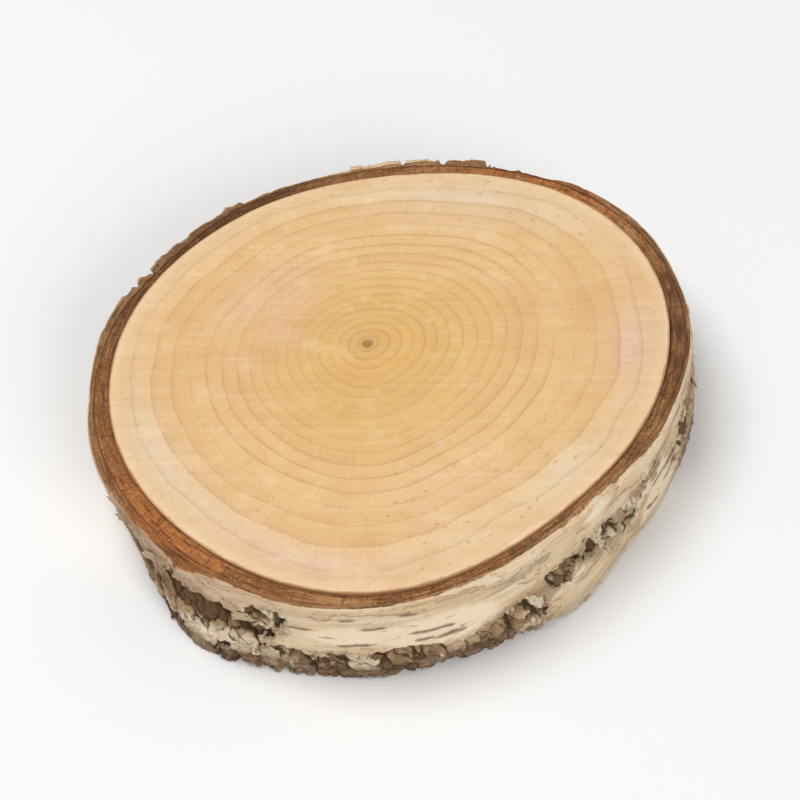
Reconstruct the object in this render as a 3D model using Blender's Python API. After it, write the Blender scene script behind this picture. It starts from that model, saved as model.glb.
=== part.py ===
"""A slice sawn from a young birch branch, lying flat on one of its two sawn faces.

Wood, inner bark and outer bark grew together as one piece, so they are one solid. Its outline is the branch's, a
little oval, and its side leans, because the saw crossed the branch slightly askew. Between the wood and the outer
bark the inner bark has dried and sunk into a shallow ring. The outer bark is smooth with lenticels where it is
white and papery, and split into corky plates where it is old.

Angles are in degrees, anticlockwise from +X seen from above. 270 faces the front.
"""

import math
import random

import bmesh
import bpy
from mathutils import Vector, noise

MM = 0.001

# The slice. The resting face is sawn at z = 0 and the top face at z = THICKNESS.
MEAN_RADIUS = 25.5 * MM
THICKNESS = 9.5 * MM
# Each wave of the outline: its number of lobes, its share of the radius and the angle of one lobe.
OUTLINE_WAVES = ((2, 0.083, 44), (3, 0.018, 27), (5, 0.004, 200), (7, 0.002, 60))
# How far the bottom outline lies from the top one, because the saw cut askew.
LEAN = Vector((1.2 * MM, 0.3 * MM))

# The bark, from the wood out to its surface. Each swell: its angle, its half width in degrees and its extra depth.
BARK_DEPTH = 1.45 * MM
BARK_SWELLS = ((222, 34, 1.0 * MM), (75, 30, 0.5 * MM), (5, 22, 0.5 * MM))
OUTER_BARK_DEPTH = 0.5 * MM
CORK_DEPTH = 0.5 * MM
THINNEST_OUTER_BARK = 0.2 * MM
INNER_BARK_SINK = 0.3 * MM
INNER_BARK_SINK_OUTSIDE = 0.2 * MM
RIM_ROUNDING = 0.1 * MM

# Where the outer bark is old and corky: the angle and the half width of each patch.
CORKY_PATCHES = ((222, 24), (316, 19), (72, 24), (148, 13))
FISSURE_SPACING = 3.2 * MM
FISSURE_LENGTH = 11 * MM
FISSURE_SLANT = 0.35
FISSURE_DEPTH = 0.75 * MM
PLATE_WIDTH = 4
SWELL_SIZE = 9 * MM
SWELL_HEIGHT = 0.35 * MM
# Where the lowest bark flares out, or in: the angle, the half width and how far.
FOOT_FLARES = ((237, 14, 1.7 * MM), (203, 16, -1.0 * MM), (305, 15, 1.1 * MM), (347, 10, -0.4 * MM))

# Where the papery layer has peeled away up to the top rim, with a curled lip along one end.
PEEL_ANGLE = 112
PEEL_HALF_WIDTH = 13
PEEL_LOWEST = 3.0 * MM
PEEL_DEPTH = 0.35 * MM
PEEL_SOFTNESS = 2
LIP_ANGLE = 128
LIP_HALF_WIDTH = 2.2
LIP_HEIGHT = 0.7 * MM

# The lenticels large enough to feel, placed by a seeded draw on the smooth bark.
LENTICELS = 26
LENTICEL_HEIGHT = 0.3 * MM
LENTICEL_HALF_LENGTHS = (4, 10)
LENTICEL_SOFTNESS = 1.5
MOST_CORK_UNDER_LENTICELS = 0.35
SEED = 7

# Where the saw or a knock broke the bark's rim: the angle, the half width and how deep.
TOP_CHIPS = ((232, 3.5, 0.8 * MM), (219, 2.5, 0.5 * MM), (337, 3, 0.5 * MM), (60, 4, 0.9 * MM), (128, 3, 0.6 * MM))
BOTTOM_CHIPS = ((200, 4, 0.7 * MM), (300, 3, 0.5 * MM), (24, 4, 0.8 * MM), (95, 3, 0.6 * MM))

# The pith, a soft pit off the middle of the wood.
PITH = Vector((-2.0 * MM, 2.0 * MM))
PITH_RADIUS = 0.55 * MM
PITH_FLOOR_RADIUS = 0.35 * MM
PITH_DEPTH = 0.2 * MM

SIDES = 200
SIDE_ROWS = 10
PITH_SIDES = 12

WOOD, INNER_BARK, OUTER_BARK = range(3)
# Each material: its name, its colour and its roughness.
FINISHES = (
    ("wood", (0.79, 0.55, 0.29), 0.7),
    ("inner bark", (0.24, 0.10, 0.045), 0.85),
    ("outer bark", (0.72, 0.62, 0.50), 0.75),
)


def bell(angle, centre, half_width):
    """1 at the centre, falling smoothly to about 0.37 at the half width and to nothing beyond."""
    away = (angle - centre + 180) % 360 - 180
    return math.exp(-((away / half_width) ** 2))


def window(angle, centre, half_width, soft):
    """1 within the half width of the centre, falling to 0 over the soft margin outside it."""
    away = abs((angle - centre + 180) % 360 - 180)
    return min(1, max(0, (half_width + soft - away) / soft))


def outline(angle):
    waves = sum(share * math.cos(lobes * math.radians(angle - lobe)) for lobes, share, lobe in OUTLINE_WAVES)
    return MEAN_RADIUS * (1 + waves)


def corkiness(angle):
    """0 on smooth papery bark and 1 in the middle of a corky patch."""
    return min(1, sum(bell(angle, *patch) for patch in CORKY_PATCHES))


def bark_depth(angle):
    return BARK_DEPTH + sum(extra * bell(angle, centre, half) for centre, half, extra in BARK_SWELLS)


def outer_bark_depth(angle):
    return OUTER_BARK_DEPTH + CORK_DEPTH * corkiness(angle)


def chip_depth(angle, chips):
    return sum(depth * bell(angle, centre, half) for centre, half, depth in chips)


def fissures(angle, height):
    """From 0 on top of the corky plates to 1 in the bed of a fissure. The fissures run up the branch, at a slant."""
    along = MEAN_RADIUS * math.radians(angle) + FISSURE_SLANT * height
    turn = along / MEAN_RADIUS
    across = MEAN_RADIUS / FISSURE_SPACING
    place = Vector((across * math.cos(turn), across * math.sin(turn), height / FISSURE_LENGTH))
    return max(0, 1 - PLATE_WIDTH * abs(noise.noise(place)))


def lenticel_draw():
    """The row, angle and half length in degrees of each lenticel that is felt, all of them clear of the cork."""
    draw = random.Random(SEED)
    found = []
    while len(found) < LENTICELS:
        row = draw.randrange(1, SIDE_ROWS)
        angle = draw.uniform(0, 360)
        half_length = draw.uniform(*LENTICEL_HALF_LENGTHS)
        if corkiness(angle) < MOST_CORK_UNDER_LENTICELS:
            found.append((row, angle, half_length))
    return found


def relief(angle, row, height, lenticels):
    """How far the bark stands out of the branch's smooth outline there."""
    across = MEAN_RADIUS / SWELL_SIZE
    turn = math.radians(angle)
    place = Vector((across * math.cos(turn), across * math.sin(turn), height / SWELL_SIZE))
    out = SWELL_HEIGHT * noise.noise(place)
    out -= FISSURE_DEPTH * corkiness(angle) * fissures(angle, height)
    out += (1 - height / THICKNESS) * sum(flare * bell(angle, centre, half) for centre, half, flare in FOOT_FLARES)
    if height > PEEL_LOWEST:
        out -= PEEL_DEPTH * window(angle, PEEL_ANGLE, PEEL_HALF_WIDTH, PEEL_SOFTNESS)
        out += LIP_HEIGHT * bell(angle, LIP_ANGLE, LIP_HALF_WIDTH)
    for lenticel_row, centre, half_length in lenticels:
        if lenticel_row == row:
            out += LENTICEL_HEIGHT * window(angle, centre, half_length, LENTICEL_SOFTNESS)
    return max(out, THINNEST_OUTER_BARK - outer_bark_depth(angle))


def point(angle, radius, height):
    """A point at that radius from the branch's middle line, which leans."""
    middle = LEAN * (0.5 - height / THICKNESS)
    turn = math.radians(angle)
    return Vector((middle.x + radius * math.cos(turn), middle.y + radius * math.sin(turn), height))


def face_loops(level, inward, chips):
    """The loops from the wood's rim out to the bark's, on a sawn face. Inward is the way into the slice."""

    def wood_rim(angle):
        return point(angle, outline(angle) - bark_depth(angle), level)

    def sunk_inside(angle):
        return point(angle, outline(angle) - bark_depth(angle) + RIM_ROUNDING, level + inward * INNER_BARK_SINK)

    def sunk_outside(angle):
        radius = outline(angle) - outer_bark_depth(angle) - RIM_ROUNDING
        return point(angle, radius, level + inward * INNER_BARK_SINK_OUTSIDE)

    def bark_rim(angle):
        height = level + inward * (RIM_ROUNDING / 2 + chip_depth(angle, chips))
        return point(angle, outline(angle) - outer_bark_depth(angle), height)

    return [(wood_rim, WOOD), (sunk_inside, WOOD), (sunk_outside, INNER_BARK), (bark_rim, INNER_BARK)]


def side_loops():
    """The loops down the outside of the bark, from its top rim to its bottom rim."""
    lenticels = lenticel_draw()

    def row_loop(row):
        def row_point(angle):
            highest = THICKNESS - RIM_ROUNDING - chip_depth(angle, TOP_CHIPS)
            lowest = RIM_ROUNDING + chip_depth(angle, BOTTOM_CHIPS)
            height = highest + (lowest - highest) * row / SIDE_ROWS
            return point(angle, outline(angle) + relief(angle, row, height, lenticels), height)

        return row_point

    return [(row_loop(row), OUTER_BARK) for row in range(SIDE_ROWS + 1)]


def skin(bm, loops):
    """Joins the loops, one below the other, and returns the edges of the first and of the last one.

    Each loop comes with the material of the band that ends at it."""
    angles = [360 * i / SIDES for i in range(SIDES)]
    verts = bmesh.ops.create_circle(bm, segments=SIDES, radius=1)["verts"]
    for vert, angle in zip(verts, angles):
        vert.co = loops[0][0](angle)
    first = edges = [bm.edges.get((verts[i - 1], verts[i])) for i in range(SIDES)]
    for place, material in loops[1:]:
        made = bmesh.ops.extrude_edge_only(bm, edges=edges)["geom"]
        edges = [item for item in made if isinstance(item, bmesh.types.BMEdge)]
        fresh = {vert for edge in edges for vert in edge.verts}
        for vert, angle in zip(verts, angles):
            below = next(edge.other_vert(vert) for edge in vert.link_edges if edge.other_vert(vert) in fresh)
            below.co = place(angle)
        verts = [
            next(edge.other_vert(vert) for edge in vert.link_edges if edge.other_vert(vert) in fresh) for vert in verts
        ]
        edges = [edge for edge in edges if edge.verts[0] in fresh and edge.verts[1] in fresh]
        for face in {face for edge in edges for face in edge.link_faces}:
            face.material_index = material
    return first, edges


def close_face(bm, rim_edges, level, inward):
    """Fills the wood's sawn face out to its rim, around a shallow pit for the pith."""
    pith = LEAN * (0.5 - level / THICKNESS) + PITH
    verts = bmesh.ops.create_circle(bm, segments=PITH_SIDES, radius=PITH_RADIUS)["verts"]
    bmesh.ops.translate(bm, verts=verts, vec=(*pith, level))
    pit_rim = [bm.edges.get((verts[i - 1], verts[i])) for i in range(PITH_SIDES)]
    made = bmesh.ops.extrude_edge_only(bm, edges=pit_rim)["geom"]
    floor = [item for item in made if isinstance(item, bmesh.types.BMVert)]
    for vert in floor:
        vert.co = Vector((*pith.lerp(vert.co.xy, PITH_FLOOR_RADIUS / PITH_RADIUS), level + inward * PITH_DEPTH))
    bmesh.ops.contextual_create(bm, geom=floor)
    bmesh.ops.triangle_fill(bm, use_beauty=True, edges=rim_edges + pit_rim)


def slice_mesh():
    """The whole slice as one closed mesh, with the middle of its box over the origin."""
    bm = bmesh.new()
    top = face_loops(THICKNESS, -1, TOP_CHIPS)
    bottom = face_loops(0, 1, BOTTOM_CHIPS)
    bottom_bands = [OUTER_BARK, INNER_BARK, INNER_BARK, WOOD]
    turned = [(place, material) for (place, _), material in zip(reversed(bottom), bottom_bands)]
    top_rim, bottom_rim = skin(bm, top + side_loops() + turned)
    close_face(bm, top_rim, THICKNESS, -1)
    close_face(bm, bottom_rim, 0, 1)
    bmesh.ops.triangulate(bm, faces=bm.faces)
    bmesh.ops.recalc_face_normals(bm, faces=bm.faces)
    xs = [vert.co.x for vert in bm.verts]
    ys = [vert.co.y for vert in bm.verts]
    middle = Vector((min(xs) + max(xs), min(ys) + max(ys), 0)) / 2
    bmesh.ops.translate(bm, verts=bm.verts, vec=-middle)
    mesh = bpy.data.meshes.new("birch_slice")
    bm.to_mesh(mesh)
    bm.free()
    return mesh


def finish(name, colour, roughness):
    material = bpy.data.materials.new(name)
    material.use_nodes = True
    shader = material.node_tree.nodes["Principled BSDF"]
    shader.inputs["Base Color"].default_value = (*colour, 1)
    shader.inputs["Roughness"].default_value = roughness
    shader.inputs["Metallic"].default_value = 0
    return material


def birch_slice():
    mesh = slice_mesh()
    for values in FINISHES:
        mesh.materials.append(finish(*values))
    mesh.shade_smooth()
    mesh.set_sharp_from_angle(angle=math.radians(40))
    part = bpy.data.objects.new("birch_slice", mesh)
    bpy.context.scene.collection.objects.link(part)


for old in list(bpy.data.objects):
    bpy.data.objects.remove(old)
birch_slice()
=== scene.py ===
"""The looks of a birch slice: sawn wood with growth rings, a sunk ring of inner bark and papery bark.

Three closed pieces fit inside one another, the wood in the inner bark in the outer bark, and loose flakes of
paper stand on the last. They follow the same outline as the solid. Angles are in degrees, anticlockwise from
+X seen from above, so 270 faces the camera.
"""

import math
import random

import bmesh
import bpy
from mathutils import Euler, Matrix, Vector, noise


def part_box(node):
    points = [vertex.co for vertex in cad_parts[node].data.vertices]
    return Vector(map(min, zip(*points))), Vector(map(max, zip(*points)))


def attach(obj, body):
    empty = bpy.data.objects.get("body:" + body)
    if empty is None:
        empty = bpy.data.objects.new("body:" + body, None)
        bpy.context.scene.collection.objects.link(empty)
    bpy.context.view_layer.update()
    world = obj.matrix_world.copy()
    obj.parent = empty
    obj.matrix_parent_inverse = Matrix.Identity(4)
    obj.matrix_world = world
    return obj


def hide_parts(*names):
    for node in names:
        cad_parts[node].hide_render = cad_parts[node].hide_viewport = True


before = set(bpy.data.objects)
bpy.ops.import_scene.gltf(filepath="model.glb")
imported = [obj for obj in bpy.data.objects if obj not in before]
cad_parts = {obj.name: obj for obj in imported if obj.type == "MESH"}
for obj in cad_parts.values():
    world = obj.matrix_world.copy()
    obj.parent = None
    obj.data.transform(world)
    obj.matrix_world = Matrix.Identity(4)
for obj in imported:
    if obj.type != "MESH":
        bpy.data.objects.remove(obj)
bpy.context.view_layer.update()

MM = 0.001
SLICE = "birch_slice"
lowest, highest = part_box(SLICE)
THICKNESS = highest.z - lowest.z

# The branch, as in the solid.
MEAN_RADIUS = 25.5 * MM
OUTLINE_WAVES = ((2, 0.083, 44), (3, 0.018, 27), (5, 0.004, 200), (7, 0.002, 60))
LEAN = Vector((1.2 * MM, 0.3 * MM))
# Where the branch's middle line crosses half the slice's height.
MIDDLE = Vector((-0.226 * MM, 0.607 * MM))
BARK_DEPTH = 1.45 * MM
BARK_SWELLS = ((222, 34, 1.0 * MM), (75, 30, 0.5 * MM), (5, 22, 0.5 * MM))
OUTER_BARK_DEPTH = 0.5 * MM
CORK_DEPTH = 0.5 * MM
THINNEST_OUTER_BARK = 0.2 * MM
INNER_BARK_SINK = 0.3 * MM
INNER_BARK_SINK_OUTSIDE = 0.2 * MM
RIM_ROUNDING = 0.1 * MM
CORKY_PATCHES = ((222, 24), (316, 19), (72, 24), (148, 13))
FISSURE_SPACING = 3.2 * MM
FISSURE_LENGTH = 11 * MM
FISSURE_SLANT = 0.35
FISSURE_DEPTH = 0.75 * MM
PLATE_WIDTH = 4
SWELL_SIZE = 9 * MM
SWELL_HEIGHT = 0.35 * MM
FOOT_FLARES = ((237, 14, 1.7 * MM), (203, 16, -1.0 * MM), (305, 15, 1.1 * MM), (347, 10, -0.4 * MM))
PEEL_ANGLE = 112
PEEL_HALF_WIDTH = 13
PEEL_LOWEST = 3.0 * MM
PEEL_DEPTH = 0.35 * MM
LIP_ANGLE = 128
LIP_HALF_WIDTH = 2.2
LIP_HEIGHT = 0.7 * MM
LARGE_LENTICELS = 26
LARGE_LENTICEL_HALF_LENGTHS = (4, 10)
MOST_CORK_UNDER_LENTICELS = 0.35
LENTICEL_ROWS = 10
SEED = 7
TOP_CHIPS = ((232, 3.5, 0.8 * MM), (219, 2.5, 0.5 * MM), (337, 3, 0.5 * MM), (60, 4, 0.9 * MM),
             (128, 3, 0.6 * MM))
BOTTOM_CHIPS = ((200, 4, 0.7 * MM), (300, 3, 0.5 * MM), (24, 4, 0.8 * MM), (95, 3, 0.6 * MM))
PITH = Vector((-2.0 * MM, 2.0 * MM))
PITH_RADIUS = 0.55 * MM
PITH_DEPTH = 0.2 * MM

# The finer relief, which only these pieces have.
# Where the bark is old: the angle, the share of the height, half of each, and how old.
OLD_BARK = ((226, 0.47, 12, 0.42, 0.80), (235, 0.60, 8, 0.20, 0.85), (215, 0.62, 5, 0.45, 0.70),
            (247, 0.56, 5, 0.40, 0.40), (236, 0.04, 12, 0.14, 0.70), (270, 0.02, 29, 0.22, 0.95),
            (260, 0.28, 10, 0.14, 0.55), (275, 0.24, 5, 0.13, 0.80), (289, 0.27, 7, 0.17, 0.60),
            (296, 0.34, 6, 0.28, 0.90), (305, 0.52, 6, 0.16, 0.50), (315, 0.54, 8, 0.18, 0.75),
            (326, 0.42, 8, 0.26, 0.68), (336, 0.62, 6, 0.14, 0.50), (357, 0.44, 8, 0.42, 1.0),
            (26, 0.10, 14, 0.25, 1.0), (72, 0.55, 19, 0.80, 1.0), (100, 0.05, 16, 0.22, 1.0),
            (148, 0.50, 14, 0.70, 1.0), (182, 0.12, 15, 0.30, 1.0))
# How far old patches lean, in degrees over the slice's thickness.
CORK_TILT = 9
# The swells that tear the patches' edges: the size of each and how far it is drawn out up the branch.
RAGGED = (4 * MM, 1.5)
FINER = (1.3 * MM, 1.3)
FINEST = (0.5 * MM, 1.2)
OLD_BARK_EDGE = (0.42, 0.50)
TORN_EDGE = 0.38
TORN_EDGE_WIDTH = 0.05
WANDER = 1.1
WANDER_SIZE = 1 * MM
SCALE_SIZE = 1.7 * MM
SCALE_UPRIGHT = 1.35
SCALE_HEIGHT = 0.17 * MM
SCALE_LEAN = 0.16 * MM
SCALE_SEAM = 0.15 * MM
SMALL_SCALE_SIZE = 0.7 * MM
SMALL_SCALE_HEIGHT = 0.05 * MM
SMALL_SCALE_SEAM = 0.06 * MM
FINE_CRACK_SPACING = 1.3 * MM
FINE_CRACK_DEPTH = 0.16 * MM
CORK_GRAIN = 0.4 * MM
CORK_GRAIN_HEIGHT = 0.06 * MM
TORN_EDGE_HEIGHT = 0.12 * MM
PEEL_CURL = 0.16 * MM
# The tears of the peeled patch's ends: how many degrees, how many to a metre, and where their noise starts.
PEEL_TEARS = ((2.2, 700, 3.0), (6.5, 240, 7.0))
PEEL_FOOT_TEARS = (1.5 * MM, 0.5 * MM, 0.25 * MM)
PEEL_SOFTNESS = 0.6
PEEL_CURL_WIDTH = 0.7 * MM
SHEET_SIZE = 7 * MM
SHEET_LEVELS = (0.14, 0.40)
SHEET_EDGE_WIDTH = 0.025
SHEET_DEPTH = 0.11 * MM
SHEET_LIP = 0.05 * MM
WRINKLE_SIZE = 1.6 * MM
WRINKLE_HEIGHT = 0.05 * MM
SMALL_LENTICELS = 60
SMALL_LENTICEL_HALF_LENGTHS = (1.2, 4.0)
LENTICEL_HEIGHT = 0.2 * MM
LENTICEL_HALF_HEIGHT = 0.28 * MM
FOOT_CRUMBS = 0.09 * MM
CHIP_ROUGHNESS = 0.5
RIM_ROUGHNESS = 0.05 * MM
SAWN_GRAIN = 0.07 * MM
SAWN_SWELL = 0.05 * MM
FLAKES = 30
FLAKE_SEED = 21
FLAKE_FACES = (18, 10)
FLAKE_THICKNESS = 0.06 * MM
FLAKE_SINK = 0.04 * MM
NIBBLE_SIZE = 1.3 * MM
NIBBLE_DEPTH = 0.5 * MM
# Grey-green streaks on the smooth bark: the angle, the height, the half width in degrees, the half height
# and the climb in a degree.
STAINS = ((296, 7.8 * MM, 9, 0.5 * MM, 0.08 * MM), (262, 1.9 * MM, 9, 0.5 * MM, 0.03 * MM),
          (20, 5.0 * MM, 12, 0.9 * MM, -0.1 * MM), (170, 3.2 * MM, 14, 0.8 * MM, 0.06 * MM))

# Chalky white spots on the smooth bark, laid down like the old patches.
CHALKY = ((238, 0.26, 10, 0.16, 1.1), (308, 0.36, 8, 0.14, 0.7), (278, 0.56, 12, 0.21, 1.45),
          (259, 0.62, 7, 0.16, 0.9), (343, 0.18, 10, 0.24, 1.1), (205, 0.45, 8, 0.30, 1.0),
          (314, 0.86, 6, 0.14, 0.8), (12, 0.72, 12, 0.20, 0.9), (45, 0.40, 10, 0.22, 0.8),
          (168, 0.74, 10, 0.20, 0.9))
# Where the foot of the bark is dirty and carries the most painted contact shade: the angle and the half width
# of each stretch.
DIRTY_AND_SHADED_FOOT = ((232, 17), (276, 27), (357, 9), (30, 20), (110, 30), (170, 20))

# The inner bark's tone changes round the slice: the angle and the half width of each stretch.
RUSTY_STRETCHES = ((226, 26), (60, 20))
DARK_STRETCHES = ((8, 20), (135, 34))
# Where the outer bark is pale right through, not only on its skin.
PALE_RIM = ((300, 40), (95, 18))
CRUMB_SIZE = 0.6 * MM
CRUMB_HEIGHT = 0.08 * MM
LAYER_THICKNESS = 0.3 * MM
LAYER_HEIGHT = 0.09 * MM
LAYER_LENGTH = 2.6 * MM
SHRUNK_FROM_WOOD = 0.22 * MM

# The wood's rings and its paler and pinker patches: the angle, the share of the way to the rim, and half
# of each.
YEARS = 19
RING_RELIEF = 0.035 * MM
SAW_RELIEF = 0.02 * MM
SAWN_CLEARANCE = 0.02 * MM
PALE_PATCHES = ((212, 0.90, 26, 0.10), (322, 0.90, 12, 0.06), (70, 0.86, 22, 0.09))
PINK_PATCHES = ((252, 0.91, 20, 0.07), (4, 0.88, 15, 0.10), (160, 0.45, 30, 0.20))

# How finely the pieces are made.
BARK_SIDES = 1152
BARK_TOP_ROWS = 7
BARK_SIDE_ROWS = 68
INNER_SIDES = 1440
INNER_ROWS = 16
WOOD_RINGS = 92
WOOD_FIRST_SPOKES = 60
WOOD_WIDEST_FACE = 0.0135

OVERLAP = 0.06 * MM
MERGE_DISTANCE = 0.2e-6
# Edges sharper than this many degrees stay sharp.
SHARP_ON_WOOD = 35
SHARP_ON_INNER_BARK = 50
SHARP_ON_BARK = 60

# The bake map: a band lies in strips above its lowest share, and the wood's faces lie in two discs.
BAKE_MAP = "OFBake"
BAND_STRIPS = 4
BAND_LOWEST = 0.06
BOTTOM_DISC = (0.297, 0.297)
TOP_DISC = (0.703, 0.703)
DISC_RADIUS = 0.29

# The view and the studio. Each lamp: its place, its size and its power.
ELEVATION = 49
LENS = 100
SENSOR = 36
SHARE_OF_FRAME = 0.76
OVERHEAD_LAMP = ((-0.25, 0.05, 0.6), 0.4, 2.35)
FRONT_LAMP = ((0.25, -0.50, 0.35), 0.35, 1.6)
LAMPS_AIM = Vector((0, 0, 0.004))
WORLD_STRENGTH = 0.39
FLOOR_SIZE = 3


def from_centre(angle, centre):
    """The angle measured from the centre, from -180 to 180."""
    return (angle - centre + 180) % 360 - 180


def bell(angle, centre, half_width):
    return math.exp(-((from_centre(angle, centre) / half_width) ** 2))


def window(angle, centre, half_width, soft):
    """1 within the half width of the centre, falling to 0 over the soft margin outside it."""
    return min(1, max(0, (half_width + soft - abs(from_centre(angle, centre))) / soft))


def rise(value, low, high):
    """0 at low and 1 at high, with a smooth way between."""
    share = min(1, max(0, (value - low) / (high - low)))
    return share * share * (3 - 2 * share)


def mix(low, high, share):
    return low + (high - low) * share


def outline(angle):
    waves = sum(share * math.cos(lobes * math.radians(angle - lobe)) for lobes, share, lobe in OUTLINE_WAVES)
    return MEAN_RADIUS * (1 + waves)


def corkiness(angle):
    return min(1, sum(bell(angle, *patch) for patch in CORKY_PATCHES))


def bark_depth(angle):
    return BARK_DEPTH + sum(extra * bell(angle, centre, half) for centre, half, extra in BARK_SWELLS)


def outer_bark_depth(angle):
    return OUTER_BARK_DEPTH + CORK_DEPTH * corkiness(angle)


def in_patches(angle, height, patches):
    """1 in the middle of a patch on the bark's side, falling to 0 around it. The patches lean."""
    level = height / THICKNESS
    tilted = angle - CORK_TILT * (level - 0.5)
    return min(1, sum(strength * bell(tilted, centre, half) * math.exp(-(((level - middle) / tall) ** 2))
                      for centre, middle, half, tall, strength in patches))


def in_stretches(angle, stretches):
    return min(1, sum(bell(angle, *stretch) for stretch in stretches))


def chip_depth(angle, chips):
    return sum(depth * bell(angle, centre, half) for centre, half, depth in chips)


def bark_place(angle, height, size, upright=1.0, slant=0.0):
    """A place for noise with swells of that size on the bark, drawn out up the branch, and slanted."""
    turn = math.radians(angle) + slant * height / MEAN_RADIUS
    across = MEAN_RADIUS / size
    return Vector((across * math.cos(turn), across * math.sin(turn), height / (size * upright)))


def point(angle, radius, height):
    """A point at that radius from the branch's middle line, which leans."""
    middle = MIDDLE + LEAN * (0.5 - height / THICKNESS)
    turn = math.radians(angle)
    return Vector((middle.x + radius * math.cos(turn), middle.y + radius * math.sin(turn), height))


def rolled(angle, height):
    """The same place on an even cylinder, which the bark's patterns follow."""
    turn = math.radians(angle)
    return Vector((MEAN_RADIUS * math.cos(turn), MEAN_RADIUS * math.sin(turn), height))


def only(kind, items):
    return [item for item in items if isinstance(item, kind)]


def crack(place, sharpness):
    """1 along winding lines, falling to 0 beside them."""
    return max(0, 1 - sharpness * abs(noise.noise(place)))


def draw_lenticels():
    """The angle, height and half length in degrees of each lenticel. The large ones are the solid's."""
    draw = random.Random(SEED)
    found = []
    while len(found) < LARGE_LENTICELS:
        height = THICKNESS * (1 - draw.randrange(1, LENTICEL_ROWS) / LENTICEL_ROWS)
        angle = draw.uniform(0, 360)
        half_length = draw.uniform(*LARGE_LENTICEL_HALF_LENGTHS)
        if corkiness(angle) < MOST_CORK_UNDER_LENTICELS:
            found.append((angle, height, half_length))
    while len(found) < LARGE_LENTICELS + SMALL_LENTICELS:
        height = THICKNESS * draw.uniform(0.05, 0.95)
        angle = draw.uniform(0, 360)
        half_length = draw.uniform(*SMALL_LENTICEL_HALF_LENGTHS)
        if corkiness(angle) < MOST_CORK_UNDER_LENTICELS:
            found.append((angle, height, half_length))
    return found


def lenticel_at(angle, height, near):
    """How much of a lenticel is there, and of the slit along its middle, of those that are near in angle."""
    best = slit = 0
    for centre, level, half_length in near:
        along = window(angle, centre, 0.6 * half_length, 0.5 * half_length)
        if along > 0:
            sag = 0.16 * MM * noise.noise(bark_place(angle, level, 1.8 * MM))
            away = (height - level - sag) / (LENTICEL_HALF_HEIGHT * (0.3 + 0.7 * along))
            best = max(best, along ** 0.5 * math.exp(-away * away))
            slit = max(slit, along * math.exp(-9 * away * away))
    return best, slit


def stain_at(angle, height):
    stain = 0
    for centre, level, half_width, half_height, climb in STAINS:
        away = (height - level - climb * from_centre(angle, centre)) / half_height
        stain = max(stain, bell(angle, centre, half_width) * math.exp(-away * away))
    return stain


def scale_at(place):
    """The scale of old bark at a place for noise: its level, from -1 to 1, its lean and the seam round it."""
    distances, corners = noise.voronoi(place)
    seam = 1 - rise(distances[1] - distances[0], 0.02, 0.17)
    return noise.cell(37 * corners[0]), corners[0].z - place.z, seam


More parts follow.
